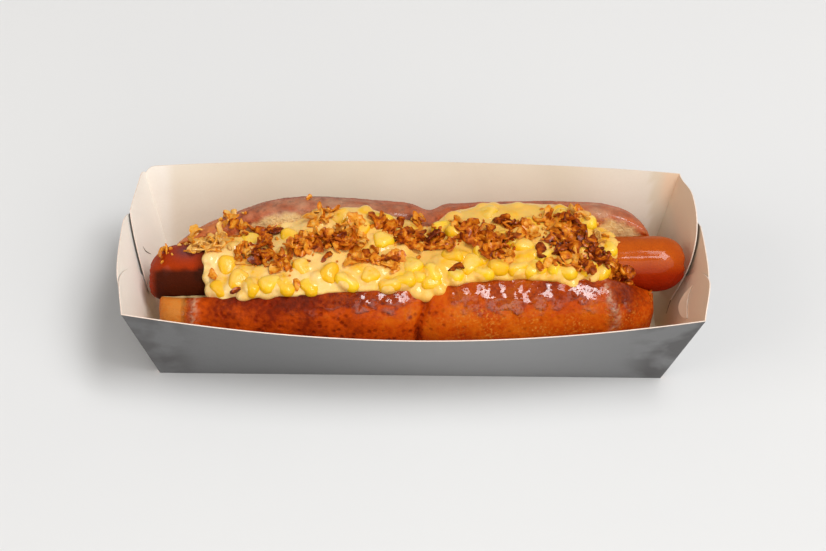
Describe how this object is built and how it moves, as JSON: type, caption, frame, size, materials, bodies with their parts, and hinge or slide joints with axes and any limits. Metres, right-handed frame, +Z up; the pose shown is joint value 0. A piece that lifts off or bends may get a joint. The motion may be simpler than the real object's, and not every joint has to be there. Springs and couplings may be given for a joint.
{
  "type": "hot dog",
  "caption": "Long sausage in a split brioche bun under cheese sauce with sweetcorn and crisp fried onion, in an open folded card tray.",
  "frame": {"origin": "middle of the underside of the tray's base, which stands on the ground", "axes": "+X along the sausage, +Y from the front wall to the back wall, +Z up"},
  "size_m": [0.241, 0.1068, 0.0588],
  "materials": {
    "card": "matte",
    "brioche": "satin",
    "sausage": "satin",
    "filling": "satin",
    "corn": "gloss",
    "onion": "matte"
  },
  "bodies": {
    "root": {"tray": "card", "bun": "brioche", "sausage": "sausage", "topping": "filling"}
  },
  "joints": []
}
